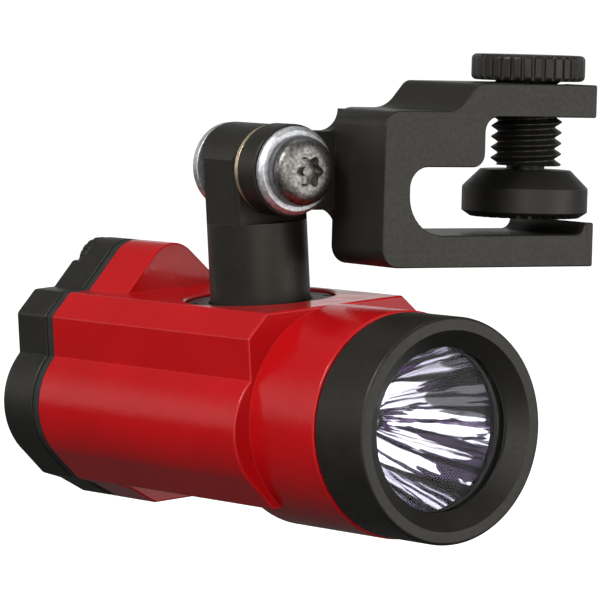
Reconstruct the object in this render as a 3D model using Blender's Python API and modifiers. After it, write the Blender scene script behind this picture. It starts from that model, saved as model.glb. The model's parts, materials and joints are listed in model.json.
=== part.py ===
"""Helmet light: two lithium cells side by side in a metal body, on a swivel post and a brim clamp.

Frames, all in metres. The world frame is the brim clamp's: the origin is the middle of the lower
jaw's inner face, +Z runs up the clamp screw, +X points out of the jaw and -Y is the way the beam
points. The post tilts about the pivot screw, which lies along Y. The light pans about the post.
Pieces of the light are placed in its beam frame: x to the side, y up, z forward from the post.
"""
from math import asin, atan2, cos, degrees, hypot, pi, radians, sin, sqrt, tan

import bmesh
import bpy
from mathutils import Matrix, Vector

OBJECT = "helmet_light"
GAP = 0.0003          # between nesting pieces
ROUND = 32            # facets round a large turned piece
SMALL = 16            # facets round a small one

# --- brim clamp, seen along the beam: x outwards, z up from the jaw face --------------------
JAW_DEPTH = 0.018
CLAMP_RIGHT = 0.0056
CLAMP_LEFT = -0.0302
CLAMP_TOP = 0.0210
CLAMP_BASE = -0.00445
BLOCK_TOP = 0.0171
ARM_BASE = 0.0164
SLOT_TOP = 0.0094
SLOT_LEFT = -0.0258
LIP_TOP = 0.0017
LIP_INNER = 0.0041
RISER_X = -0.0134
CORNER_RELIEF = (0.0040, 0.0054)   # plan chamfer that clears the post: along X, along Y
SCREW_BORE_R = 0.00525

# --- clamp screw and pad --------------------------------------------------------------------
THREAD_R = 0.0050
THREAD_DEPTH = 0.00092
THREAD_PITCH = 0.0015
THREAD_END = 0.0094
KNOB_R = 0.00803
KNOB_BASE = 0.02135
KNOB_TOP = 0.0250
KNOB_TEETH = 33
PAD_R = 0.0089
PAD_TOP_R = 0.0064
PAD_BASE = 0.0021
PAD_SHOULDER = 0.0063
PAD_TOP = 0.0088
PAD_BORE_R = 0.0030
CLIP_Z = 0.0063
TIP_Z = 0.0044

# --- pivot stack: distances along -Y from the post axis -------------------------------------
HINGE = Vector((-0.0372, 0.0130, 0.0084))
TONGUE = (0.0055, 0.0098)
TONGUE_R = 0.0064
NECK_HALF = 0.00545
FLARE_END = 0.0100
FLARE_BASE = 0.0086
EAR = (-0.0051, 0.0044)
THRUST_WASHER = (0.00455, 0.00535)
THRUST_R = 0.0062
FRONT_WASHER = (0.00995, 0.01115)
LOCK_WASHER = (0.0113, 0.01205)
HEAD_SEAT = 0.0122
HEAD_RIM = 0.0127
HEAD_TOP = 0.0141
RECESS_R = 0.0023
RECESS_DEPTH = 0.0016
REAR_WASHER = (-0.0071, -0.0053)
NUT = (-0.0093, -0.0073)
NUT_R = 0.0043
SCREW_TIP = -0.0097
PIVOT_R = 0.0025
PIVOT_BORE_R = 0.00275
WASHER_R = 0.0061
HEAD_R = 0.0047

# --- post and its socket, heights above the beam axis ---------------------------------------
REST_TILT = radians(5.0)
REST_PAN = radians(3.8)
HINGE_HEIGHT = 0.03365
POST_R = 0.0070
EAR_HALF = 0.0060
EAR_ROUND_R = 0.0062
LEDGE = HINGE_HEIGHT - 0.0074
SOCKET_R = 0.0106
SOCKET_FLOOR = 0.0099
FLANGE = (0.0110, 0.0124)
FLANGE_R = 0.0096
RING = (0.0127, 0.0151)
RING_R = 0.0103

# --- light body, in the beam frame ----------------------------------------------------------
DECK = 0.0155
DECK_HALF = 0.01175
SIDE = 0.0150
SIDE_TOP = 0.01235
LOBE = (0.0082, -0.0008, 0.0100)     # centre x, centre y, radius
LOBE_TOP_Y = 0.0066
UNDER_CORNER_X = 0.0121
UNDERSIDE = -0.0114
BODY_REAR = -0.03015
BODY_FRONT = 0.0172
NOSE_START = 0.0115
HUMP_FRONT = -0.0207
HUMP = (0.0175, 0.0045)              # centre y, radius of its crown
KEEL = (0.0052, -0.0150, 0.0092, -0.0125)
NOSE_R = 0.0155
NOSE_END = 0.0313
BEZEL_R = 0.0153
BEZEL_END = 0.04145
CELL = (0.00855, -0.0008, 0.0083)
CELL_SPAN = (-0.0286, 0.0046)
CHAMBER_R = 0.00875
CHAMBER_END = 0.0056
FRONT_BAY = (0.0112, 0.0095)
NOSE_BORE_R = 0.0131
BEZEL_BORE_R = 0.0142
PIN_X = 0.0052
LENS = (0.0369, 0.0387, 0.0130)
MOUTH_R = 0.0114
THROAT_R = 0.0026
MIRROR = (0.0205, 0.0353)            # throat and mouth, forward
TAIL_SCREW_Y = 0.0181
GASKET = (-0.03165, -0.03035)
CAP_FRONT = -0.03195
CAP_REAR = -0.0395
CAP_STEP = (-0.0374, 0.0190)         # where the cap's crown ends, and the height left behind it
BUTTON_Y = -0.0008
BUTTON_TRAVEL = 0.0007


def clear_scene():
    for old in list(bpy.data.objects):
        bpy.data.objects.remove(old, do_unlink=True)


clear_scene()
PARTS = bpy.data.collections.new(OBJECT)
CUTTERS = bpy.data.collections.new("cutters")
for group in (PARTS, CUTTERS):
    bpy.context.scene.collection.children.link(group)


def frame_empty(name, parent=None, location=(0, 0, 0), rotation=(0, 0, 0)):
    empty = bpy.data.objects.new(name, None)
    empty.empty_display_size = 0.01
    empty.location = location
    empty.rotation_euler = rotation
    empty.parent = parent
    PARTS.objects.link(empty)
    return empty


TILT_FRAME = frame_empty("tilt_axis", None, HINGE, (0, -REST_TILT, 0))
POST_FRAME = frame_empty("post_axis", TILT_FRAME, (0, 0, -HINGE_HEIGHT))
PAN_FRAME = frame_empty("pan_axis", POST_FRAME, (0, 0, 0), (0, 0, REST_PAN))
BEAM = frame_empty("beam_axis", PAN_FRAME, (0, 0, 0), (pi / 2, 0, 0))
PIVOT = frame_empty("pivot_axis", None, HINGE, (pi / 2, 0, 0))
CLAMP = frame_empty("clamp_plane", None, (0, 0, 0), (pi / 2, 0, 0))


# --- finishes: colour, roughness, metallic and, for clear ones, opacity ----------------------
def finish(name, colour, roughness, metallic, alpha=1.0):
    made = bpy.data.materials.new(name)
    made.use_nodes = True
    shader = made.node_tree.nodes["Principled BSDF"]
    shader.inputs["Base Color"].default_value = (*colour, 1.0)
    shader.inputs["Roughness"].default_value = roughness
    shader.inputs["Metallic"].default_value = metallic
    shader.inputs["Alpha"].default_value = alpha
    made.diffuse_color = (*colour, alpha)
    return made


RED = ((0.44, 0.012, 0.015), 0.25, 0.2)
BLACK = ((0.045, 0.043, 0.040), 0.45, 0.6)
ZINC = ((0.62, 0.62, 0.63), 0.35, 1.0)
BRASS = ((0.70, 0.52, 0.27), 0.35, 1.0)
STEEL = ((0.50, 0.49, 0.46), 0.32, 1.0)
RUBBER = ((0.020, 0.020, 0.020), 0.8, 0.0)
BOARD = ((0.02, 0.12, 0.05), 0.5, 0.0)
ALUMINIUM = ((0.55, 0.56, 0.58), 0.4, 1.0)
CELL_WRAP = ((0.05, 0.05, 0.06), 0.4, 0.0)
MIRROR_COAT = ((0.9, 0.9, 0.92), 0.05, 1.0)
GLASS = ((0.95, 0.96, 0.97), 0.02, 0.0, 0.3)
EMITTER = ((0.95, 0.75, 0.25), 0.3, 0.0)
PLASTIC = ((0.03, 0.03, 0.03), 0.5, 0.0)


# --- modelling tools ------------------------------------------------------------------------
def place(thing, name, look, parent):
    """Link an object as a named piece, or as a cutter when it has no look."""
    thing.name = name
    thing.parent = parent
    if look is None:
        thing.hide_render = True
        thing.display_type = "WIRE"
        CUTTERS.objects.link(thing)
        return thing
    thing.data.name = name
    thing.data.materials.clear()
    thing.data.materials.append(finish(name, *look))
    PARTS.objects.link(thing)
    return thing


def turned(name, look, parent, profile, at=(0, 0), steps=ROUND, on_axis=False):
    """A turned piece: profile points are (radius, height) and the axis is the frame's z."""
    area = sum(a[0] * b[1] - b[0] * a[1] for a, b in zip(profile, profile[1:] + profile[:1]))
    points = list(profile) if area < 0 else list(reversed(profile))
    if on_axis:
        while points[0][0] > 0 or points[-1][0] > 0:
            points = points[1:] + points[:1]
    mesh = bpy.data.meshes.new(name)
    edges = [(i, i + 1) for i in range(len(points) - 1)]
    if not on_axis:
        edges.append((len(points) - 1, 0))
    mesh.from_pydata([(r, 0, h) for r, h in points], edges, [])
    thing = bpy.data.objects.new(name, mesh)
    thing.location = (at[0], at[1], 0)
    screw = thing.modifiers.new("turn", "SCREW")
    screw.steps = screw.render_steps = steps
    screw.use_merge_vertices = True
    screw.merge_threshold = 0.00001
    screw.use_smooth_shade = True
    return place(thing, name, look, parent)


def drum(name, look, parent, radius, low, high, at=(0, 0), steps=ROUND, edge=0.0):
    """A plain turned drum, with an optional chamfer on both rims."""
    profile = [(0, high), (radius - edge, high), (radius, high - edge)]
    if edge:
        profile += [(radius, low + edge), (radius - edge, low), (0, low)]
    else:
        profile = [(0, high), (radius, high), (radius, low), (0, low)]
    return turned(name, look, parent, profile, at, steps, on_axis=True)


def ring(name, look, parent, inner, outer, low, high, at=(0, 0), steps=ROUND, edge=0.0):
    """A flat ring, with an optional chamfer on its outer rims."""
    profile = [(inner, high), (outer - edge, high), (outer, high - edge)]
    if edge:
        profile += [(outer, low + edge), (outer - edge, low), (inner, low)]
    else:
        profile = [(inner, high), (outer, high), (outer, low), (inner, low)]
    return turned(name, look, parent, profile, at, steps)


def rounded(corners, arc=5):
    """Outline through (x, y, radius) corners, each turned into an arc of its radius."""
    outline = []
    for index, (x, y, radius) in enumerate(corners):
        here = Vector((x, y))
        before = (Vector(corners[index - 1][:2]) - here).normalized()
        after = (Vector(corners[(index + 1) % len(corners)][:2]) - here).normalized()
        half = before.angle(after) / 2
        if radius <= 0:
            outline.append((x, y))
            continue
        middle = here + (before + after).normalized() * (radius / sin(half))
        start = here + before * (radius / tan(half)) - middle
        end = here + after * (radius / tan(half)) - middle
        swing = atan2(start.x * end.y - start.y * end.x, start.dot(end))
        for step in range(arc + 1):
            angle = swing * step / arc
            turned_by = Matrix.Rotation(angle, 2)
            outline.append(tuple(middle + turned_by @ start))
    return outline


def arc_points(centre, radius, start, end, count):
    """Points on an arc, angles in degrees."""
    spans = [radians(start + (end - start) * i / count) for i in range(count + 1)]
    return [(centre[0] + radius * cos(a), centre[1] + radius * sin(a)) for a in spans]


def mirrored(half):
    """Close a right-hand half outline with its mirror image on the left."""
    return list(half) + [(-x, y) for x, y in reversed(half) if abs(x) > 1e-9]


def plate(name, look, parent, outline, low, high):
    """A flat outline in the frame's xy plane, filled and extruded from low to high along z."""
    curve = bpy.data.curves.new(name + "_outline", "CURVE")
    curve.dimensions = "2D"
    curve.fill_mode = "BOTH"
    curve.extrude = (high - low) / 2
    spline = curve.splines.new("POLY")
    spline.points.add(len(outline) - 1)
    for point, (x, y) in zip(spline.points, outline):
        point.co = (x, y, 0, 1)
    spline.use_cyclic_u = True
    drawn = bpy.data.objects.new(name + "_outline", curve)
    bpy.context.scene.collection.objects.link(drawn)
    shape = drawn.evaluated_get(bpy.context.evaluated_depsgraph_get())
    mesh = bpy.data.meshes.new_from_object(shape)
    bpy.data.objects.remove(drawn, do_unlink=True)
    work = bmesh.new()
    work.from_mesh(mesh)
    bmesh.ops.remove_doubles(work, verts=work.verts, dist=0.000002)
    bmesh.ops.translate(work, verts=work.verts, vec=(0, 0, (low + high) / 2))
    bmesh.ops.recalc_face_normals(work, faces=work.faces)
    work.to_mesh(mesh)
    work.free()
    return place(bpy.data.objects.new(name, mesh), name, look, parent)


def box(name, look, parent, low, high):
    """A box between two corners of the frame."""
    mesh = bpy.data.meshes.new(name)
    work = bmesh.new()
    bmesh.ops.create_cube(work, size=1)
    size = [b - a for a, b in zip(low, high)]
    middle = [(a + b) / 2 for a, b in zip(low, high)]
    bmesh.ops.scale(work, verts=work.verts, vec=size)
    bmesh.ops.translate(work, verts=work.verts, vec=middle)
    work.to_mesh(mesh)
    work.free()
    return place(bpy.data.objects.new(name, mesh), name, look, parent)


def boolean(target, operand, operation):
    change = target.modifiers.new(operand.name, "BOOLEAN")
    change.operation = operation
    change.solver = "EXACT"
    change.object = operand
    return target


def cut(target, *operands):
    for operand in operands:
        boolean(target, operand, "DIFFERENCE")


def join(target, *operands):
    for operand in operands:
        boolean(target, operand, "UNION")


def soften(target, width, segments=1, limit=40):
    edge = target.modifiers.new("edges", "BEVEL")
    edge.width = width
    edge.segments = segments
    edge.limit_method = "ANGLE"
    edge.angle_limit = radians(limit)
    edge.use_clamp_overlap = True
    edge.miter_outer = "MITER_ARC" if segments > 1 else "MITER_SHARP"


def lofted(name, look, parent, sections):
    """A closed loft through sections with equal point counts, capped at both ends."""
    mesh = bpy.data.meshes.new(name)
    work = bmesh.new()
    loops = [[work.verts.new(point) for point in section] for section in sections]
    for low, high in zip(loops, loops[1:]):
        for i in range(len(low)):
            j = (i + 1) % len(low)
            work.faces.new((low[i], low[j], high[j], high[i]))
    work.faces.new(list(reversed(loops[0])))
    work.faces.new(loops[-1])
    bmesh.ops.recalc_face_normals(work, faces=work.faces)
    for face in work.faces:
        face.smooth = len(face.verts) == 4
    work.to_mesh(mesh)
    work.free()
    mesh.set_sharp_from_angle(angle=radians(35))
    return place(bpy.data.objects.new(name, mesh), name, look, parent)


def coil(name, look, parent, centre, radii, low, high, wire, turns):
    """A conical contact spring along the frame's z."""
    per_turn = 8
    count = turns * per_turn
    curve = bpy.data.curves.new(name, "CURVE")
    curve.dimensions = "3D"
    curve.bevel_depth = wire
    curve.bevel_resolution = 1
    curve.use_fill_caps = True
    spline = curve.splines.new("POLY")
    spline.points.add(count)
    for i, point in enumerate(spline.points):
        share = i / count
        radius = radii[0] + (radii[1] - radii[0]) * share
        angle = 2 * pi * i / per_turn
        height = low + (high - low) * share
        point.co = (centre[0] + radius * cos(angle), centre[1] + radius * sin(angle), height, 1)
    return place(bpy.data.objects.new(name, curve), name, look, parent)


# --- brim clamp -----------------------------------------------------------------------------
def clamp_bracket():
    sharp = 0.0003
    corners = [
        (RISER_X + 0.0006, CLAMP_TOP, 0.0018), (CLAMP_RIGHT, CLAMP_TOP, sharp),
        (CLAMP_RIGHT, ARM_BASE, sharp), (RISER_X, ARM_BASE, 0.0021),
        (RISER_X, SLOT_TOP, 0.0019), (SLOT_LEFT, SLOT_TOP, 0.0029),
        (SLOT_LEFT, 0, 0.0055), (LIP_INNER, 0, 0.0016), (LIP_INNER, LIP_TOP, 0),
        (CLAMP_RIGHT, LIP_TOP, sharp), (CLAMP_RIGHT, CLAMP_BASE, sharp),
        (CLAMP_LEFT, CLAMP_BASE, 0.0024), (CLAMP_LEFT, BLOCK_TOP, 0.0021),
        (RISER_X - 0.0042, BLOCK_TOP, 0.0040),
    ]
    half = JAW_DEPTH / 2
    bracket = plate("clamp_bracket", BLACK, CLAMP, rounded(corners), -half, half)
    relief_x, relief_y = CORNER_RELIEF
    relief = [
        (CLAMP_LEFT - 0.002, half - relief_y), (CLAMP_LEFT, half - relief_y),
        (CLAMP_LEFT + relief_x, half), (CLAMP_LEFT + relief_x, half + 0.002),
        (CLAMP_LEFT - 0.002, half + 0.002),
    ]
    cut(bracket, plate("relief_cutter", None, None, relief, CLAMP_BASE - 0.002, BLOCK_TOP + 0.002))
    neck_end = 0.0100
    root = neck_end + 0.0027
    top = BLOCK_TOP - HINGE.z - 0.0002
    upper, lower = top - NECK_HALF, FLARE_BASE - NECK_HALF
    bar = [
        (0, -NECK_HALF), (neck_end, -NECK_HALF), (neck_end, NECK_HALF), (0, NECK_HALF),
    ]
    flare = [
        (0.0060, -NECK_HALF), *arc_points((FLARE_END - lower, -FLARE_BASE), lower, 90, 0, 6),
        (root, -FLARE_BASE), (root, top),
        *arc_points((FLARE_END - upper, top), upper, 0, -90, 6), (0.0060, NECK_HALF),
    ]
    low, high = TONGUE
    join(
        bracket,
        drum("tongue_disc", None, PIVOT, TONGUE_R, low, high),
        plate("tongue_bar", None, PIVOT, bar, low + 0.00001, high - 0.00001),
        plate("tongue_flare", None, PIVOT, flare, low + 0.00002, low + 0.0022),
    )
    cut(
        bracket,
        drum("tongue_bore", None, PIVOT, PIVOT_BORE_R, low - 0.001, high + 0.001, steps=SMALL),
        drum("clamp_screw_bore", None, None, SCREW_BORE_R, ARM_BASE - 0.001, CLAMP_TOP + 0.001),
    )
    return bracket


def toothed(radius, teeth, depth):
    """Outline of a grip rim: flat-topped teeth between narrow grooves."""
    outline = []
    pitch = 2 * pi / teeth
    for tooth in range(teeth):
        for share, drop in ((0.0, depth), (0.12, 0.0), (0.78, 0.0), (0.90, depth)):
            angle = pitch * (tooth + share)
            outline.append(((radius - drop) * cos(angle), (radius - drop) * sin(angle)))
    return outline


def level(outline, height, inset=0.0):
    """One section of a loft: the outline pulled in towards the axis and set at a height."""
    section = []
    for x, y in outline:
        reach = hypot(x, y)
        scale = (reach - inset) / reach
        section.append((x * scale, y * scale, height))
    return section


def threaded_rod(low, high, steps=16, per_pitch=4):
    """Sections of a right-hand thread, for a loft along z."""
    sections = []
    rows = round((high - low) / THREAD_PITCH * per_pitch)
    for row in range(rows + 1):
        height = low + (high - low) * row / rows
        section = []
        for step in range(steps):
            phase = (height / THREAD_PITCH - step / steps) % 1.0
            radius = THREAD_R - THREAD_DEPTH * abs(2 * phase - 1)
            angle = 2 * pi * step / steps
            section.append((radius * cos(angle), radius * sin(angle), height))
        sections.append(section)
    return sections


def thumb_screw():
    grip = toothed(KNOB_R, KNOB_TEETH, 0.00035)
    edge = 0.0006
    knob = lofted("thumb_screw", BLACK, None, [
        level(grip, KNOB_BASE, edge), level(grip, KNOB_BASE + edge),
        level(grip, KNOB_TOP - edge), level(grip, KNOB_TOP, edge),
    ])
    rod = lofted("screw_thread", None, None, threaded_rod(THREAD_END, KNOB_BASE + 0.0004))
    tip_r = PAD_BORE_R - GAP
    groove_r = 0.0022
    tip = turned("screw_tip", None, None, [
        (0, THREAD_END + 0.0005), (tip_r, THREAD_END + 0.0005), (tip_r, CLIP_Z + 0.0008),
        (groove_r, CLIP_Z + 0.0007), (groove_r, CLIP_Z - 0.0007), (tip_r, CLIP_Z - 0.0008),
        (tip_r, TIP_Z + 0.0005), (tip_r - 0.0005, TIP_Z), (0, TIP_Z),
    ], steps=SMALL, on_axis=True)
    join(knob, rod, tip)
    return knob


def clamp_pad():
    groove = 0.0007
    pad = turned("clamp_pad", BLACK, None, [
        (0, PAD_BASE), (PAD_R - 0.0012, PAD_BASE), (PAD_R, PAD_BASE + 0.0008),
        (PAD_R, PAD_SHOULDER), (PAD_TOP_R, PAD_TOP), (PAD_BORE_R, PAD_TOP),
        (PAD_BORE_R, CLIP_Z + groove), (PAD_BORE_R + 0.001, CLIP_Z + groove),
        (PAD_BORE_R + 0.001, CLIP_Z - groove), (PAD_BORE_R, CLIP_Z - groove),
        (PAD_BORE_R, TIP_Z - 0.0005), (0, TIP_Z - 0.0005),
    ], on_axis=True)
    return pad


def pad_clip():
    half = 0.0004
    clip = ring("pad_clip", STEEL, None, 0.0025, PAD_BORE_R + 0.0007, CLIP_Z - half, CLIP_Z + half,
                steps=SMALL)
    cut(clip, box("clip_gap", None, None, (0, -0.0008, CLIP_Z - 0.002), (0.006, 0.0008, CLIP_Z + 0.002)))
    return clip


# --- pivot stack ----------------------------------------------------------------------------
def star_socket(radius, floor, top):
    """Cutter for a six-lobed driver recess with a pin left standing in its middle."""
    lobes = []
    count = 36
    for i in range(count):
        angle = 2 * pi * i / count
        reach = radius * (0.86 + 0.14 * cos(6 * angle))
        lobes.append((reach * cos(angle), reach * sin(angle)))
    recess = plate("driver_recess", None, PIVOT, lobes, floor, top)
    cut(recess, drum("driver_pin", None, PIVOT, 0.0006, floor - 0.001, top - 0.0017, steps=12))
    return recess


def pivot_parts():
    crown = 0.0024
    dome = []
    for i in range(5):
        angle = (pi / 2) * i / 4
        dome.append((crown + (HEAD_R - crown) * cos(angle), HEAD_RIM + (HEAD_TOP - HEAD_RIM) * sin(angle)))
    screw = turned("pivot_screw", STEEL, PIVOT, [
        (0, SCREW_TIP), (PIVOT_R - 0.0004, SCREW_TIP), (PIVOT_R, SCREW_TIP + 0.0004),
        (PIVOT_R, HEAD_SEAT), (HEAD_R, HEAD_SEAT), *dome, (0, HEAD_TOP),
    ], steps=32, on_axis=True)
    cut(screw, star_socket(RECESS_R, HEAD_TOP - RECESS_DEPTH, HEAD_TOP + 0.001))
    ring("front_washer", ZINC, PIVOT, PIVOT_BORE_R, WASHER_R, *FRONT_WASHER, edge=0.00025)
    ring("lock_washer", PLASTIC, PIVOT, PIVOT_BORE_R, 0.0049, *LOCK_WASHER, steps=32)
    ring("thrust_washer", BRASS, PIVOT, PIVOT_BORE_R, THRUST_R, *THRUST_WASHER)
    turned("rear_washer", ZINC, PIVOT, [
        (PIVOT_BORE_R, REAR_WASHER[1]), (WASHER_R, REAR_WASHER[1]),
        (WASHER_R, REAR_WASHER[0] + 0.0007), (WASHER_R - 0.0004, REAR_WASHER[0] + 0.0005),
        (WASHER_R - 0.0004, REAR_WASHER[0]), (PIVOT_BORE_R, REAR_WASHER[0]),
    ])
    flats = arc_points((0, 0), NUT_R, 30, 330, 5)
    nut = plate("pivot_nut", ZINC, PIVOT, flats, *NUT)
    cut(nut, drum("nut_bore", None, PIVOT, PIVOT_BORE_R, NUT[0] - 0.001, NUT[1] + 0.001, steps=SMALL))
    soften(nut, 0.00025, 1, 50)
    return screw


# --- post -----------------------------------------------------------------------------------
def post():
    top = HINGE_HEIGHT + EAR_ROUND_R + 0.0005
    seal_low, seal_high = FLANGE[0] + 0.0003, FLANGE[1] - 0.0003
    stem = turned("post", BLACK, POST_FRAME, [
        (0, FLANGE[0]), (FLANGE_R, FLANGE[0]), (FLANGE_R, seal_low), (0.0085, seal_low),
        (0.0085, seal_high), (FLANGE_R, seal_high), (FLANGE_R, FLANGE[1]), (POST_R, FLANGE[1]),
        (POST_R, top), (0, top),
    ], on_axis=True)
    far = 0.012
    over = top + 0.001
    front, rear = -EAR[1], -EAR[0]
    cheeks = [
        ("ear_front", (-far, -far, LEDGE), (far, front, over)),
        ("ear_rear", (-far, rear, LEDGE), (far, far, over)),
        ("ear_left", (-far, -far, LEDGE), (-EAR_HALF, far, over)),
        ("ear_right", (EAR_HALF, -far, LEDGE), (far, far, over)),
    ]
    for name, low, high in cheeks:
        cut(stem, box(name, None, POST_FRAME, low, high))
    crown = arc_points((0, 0), EAR_ROUND_R, 0, 180, 16)
    arch = [(far, 0.0014), (far, far), (-far, far), (-far, 0.0014)] + list(reversed(
        [(x, y) for x, y in crown if y > 0.0014]))
    arch_frame = frame_empty("ear_axis", POST_FRAME, (0, 0, HINGE_HEIGHT), (pi / 2, 0, 0))
    cut(stem, plate("ear_crown", None, arch_frame, arch, -far, far))
    cut(stem, drum("ear_bore", None, arch_frame, PIVOT_BORE_R, -far, far, steps=SMALL))
    return stem


def socket_parts():
    ring("post_seal", RUBBER, POST_FRAME, 0.0087, 0.0100, FLANGE[0] + 0.00045, FLANGE[1] - 0.00045,
         edge=0.0001)
    ring("friction_washer", STEEL, PAN_FRAME, 0.0045, 0.0094, SOCKET_FLOOR + 0.0002, FLANGE[0] - 0.0003)
    cover = ring("post_ring", BLACK, PAN_FRAME, POST_R + GAP, RING_R, *RING, edge=0.0003)
    for index, angle in enumerate((151, 331)):
        slot = box(f"spanner_slot_{index}", None, PAN_FRAME, (0.0088, -0.0007, RING[1] - 0.0012),
                   (0.0120, 0.0007, RING[1] + 0.001))
        slot.rotation_euler = (0, 0, radians(angle))
        cut(cover, slot)


# --- light body -----------------------------------------------------------------------------
def lobe_half(start_y):
    """Right-hand side of the body from its flat flank down round a cell lobe to the underside."""
    cx, cy, radius = LOBE
    first = degrees(asin((start_y - cy) / radius))
    return [(SIDE, start_y)] + arc_points((cx, cy), radius, first - 4, -38.5, 9)


def mid_section():
    half = [(DECK_HALF, DECK), (SIDE, SIDE_TOP)] + lobe_half(LOBE_TOP_Y)
    return mirrored(half + [(UNDER_CORNER_X, UNDERSIDE)])


def tail_section(crown_cut=None):
    """Section with the crown over the latch screw and the keel below; optionally cut flat."""
    centre, radius = HUMP
    foot = radius * sqrt(0.5)
    base_x = foot + (centre + foot - DECK)
    arc = arc_points((0, centre), radius, 90, 45, 5)
    if crown_cut is not None:
        edge_x = base_x - (crown_cut - DECK)
        arc = [(edge_x, crown_cut)]
    keel_x, keel_y, bilge_x, bilge_y = KEEL
    half = arc + [(base_x, DECK), (DECK_HALF, DECK), (SIDE, SIDE_TOP)] + lobe_half(LOBE_TOP_Y)
    half += [(UNDER_CORNER_X, UNDERSIDE), (bilge_x, bilge_y), (keel_x, keel_y)]
    return mirrored(half)


def cell_bores(name, radius, low, high):
    x, y, _ = CELL
    return [drum(f"{name}_{side}", None, BEAM, radius, low, high, (sign * x, y))
            for side, sign in (("right", 1), ("left", -1))]


def light_housing():
    body = plate("light_housing", RED, BEAM, mid_section(), BODY_REAR, BODY_FRONT)
    tail = plate("housing_tail", None, BEAM, tail_section(), BODY_REAR, HUMP_FRONT)
    nose = turned("housing_nose", None, BEAM, [
        (0, NOSE_START), (NOSE_R, NOSE_START), (NOSE_R, NOSE_END - 0.0002),
        (NOSE_R - 0.0002, NOSE_END), (0, NOSE_END),
    ], on_axis=True, steps=48)
    join(body, tail, nose)
    over = NOSE_END + 0.002
    cut(
        body,
        *cell_bores("cell_bore", CHAMBER_R, BODY_REAR - 0.002, CHAMBER_END),
        drum("front_bay", None, BEAM, FRONT_BAY[1], FRONT_BAY[0], over),
        drum("nose_bore", None, BEAM, NOSE_BORE_R, BODY_FRONT + 0.0004, over),
        drum("bezel_bore", None, BEAM, BEZEL_BORE_R, 0.0264, over),
        drum("latch_bore", None, BEAM, 0.0032, BODY_REAR - 0.002, HUMP_FRONT - 0.0012, (0, TAIL_SCREW_Y),
             SMALL),
        drum("pin_bore_right", None, BEAM, 0.0016, 0, 0.015, (PIN_X, BUTTON_Y), SMALL),
        drum("pin_bore_left", None, BEAM, 0.0016, 0, 0.015, (-PIN_X, BUTTON_Y), SMALL),
        drum("post_socket", None, PAN_FRAME, SOCKET_R, SOCKET_FLOOR, DECK + 0.002),
    )
    return body


def front_parts():
    neck_r = BEZEL_BORE_R - GAP
    seat = LENS[1] + 0.0002
    turned("bezel_ring", BLACK, BEAM, [
        (0.0111, seat), (0.0111, 0.0395), (0.0135, BEZEL_END), (BEZEL_R - 0.0003, BEZEL_END),
        (BEZEL_R, BEZEL_END - 0.0003), (BEZEL_R, NOSE_END + GAP), (neck_r, NOSE_END + GAP),
        (neck_r, 0.0292), (0.0134, 0.0292), (0.0134, 0.0276), (neck_r, 0.0276), (neck_r, 0.0270),
        (0.0133 - 0.0006, 0.0270), (0.0133 - 0.0006, 0.0335), (LENS[2] + GAP, 0.0340),
        (LENS[2] + GAP, seat),
    ], steps=48)
    ring("bezel_seal", RUBBER, BEAM, 0.01355, 0.0141, 0.0279, 0.0289)
    drum("lens", GLASS, BEAM, LENS[2], LENS[0], LENS[1], steps=36, edge=0.0003)
    ring("lens_gasket", RUBBER, BEAM, 0.0115, LENS[2], LENS[0] - 0.0009, LENS[0] - 0.0002)
    mirror = []
    wall = 0.0007
    low, high = MIRROR
    focal = (MOUTH_R ** 2 - THROAT_R ** 2) / (high - low)
    vertex = low - THROAT_R ** 2 / focal
    for i in range(8):
        forward = low + (high - low) * (i / 7) ** 1.6
        mirror.append((sqrt(focal * (forward - vertex)), forward))
    outer = [(r + wall, f) for r, f in reversed(mirror[:-1])]
    turned("reflector", MIRROR_COAT, BEAM,
           mirror + [(0.0124, high), (0.0124, high - wall)] + outer, steps=36)
    drum("led_board", BOARD, BEAM, 0.0080, 0.0177, 0.0189, steps=32)
    turned("led_emitter", EMITTER, BEAM, [
        (0, 0.0191), (0.0022, 0.0191), (0.0022, 0.0197), (0.0016, 0.0198), (0.0015, 0.0206),
        (0.0009, 0.0212), (0, 0.0214),
    ], steps=SMALL, on_axis=True)
    turned("heat_sink", ALUMINIUM, BEAM, [
        (0, 0.0141), (0.0092, 0.0141), (0.0092, 0.0179), (0.0128, 0.0179), (0.0128, 0.0199),
        (0.0086, 0.0199), (0.0086, 0.0174), (0, 0.0174),
    ], on_axis=True)
    drum("driver_board", BOARD, BEAM, 0.0091, 0.0126, 0.0138, steps=32)
    for side, sign in (("right", 1), ("left", -1)):
        turned(f"contact_pin_{side}", BRASS, BEAM, [
            (0, 0.0052), (0.0013, 0.0054), (0.0013, 0.0122), (0, 0.0122),
        ], (sign * PIN_X, BUTTON_Y), SMALL, on_axis=True)


def cells():
    x, y, radius = CELL
    low, high = CELL_SPAN
    for side, sign in (("right", 1), ("left", -1)):
        turned(f"battery_{side}", CELL_WRAP, BEAM, [
            (0, low), (radius - 0.0008, low), (radius, low + 0.0008), (radius, high - 0.0012),
            (radius - 0.0008, high - 0.0004), (0.0030, high - 0.0004), (0.0030, high), (0, high),
        ], (sign * x, y), 32, on_axis=True)


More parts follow.
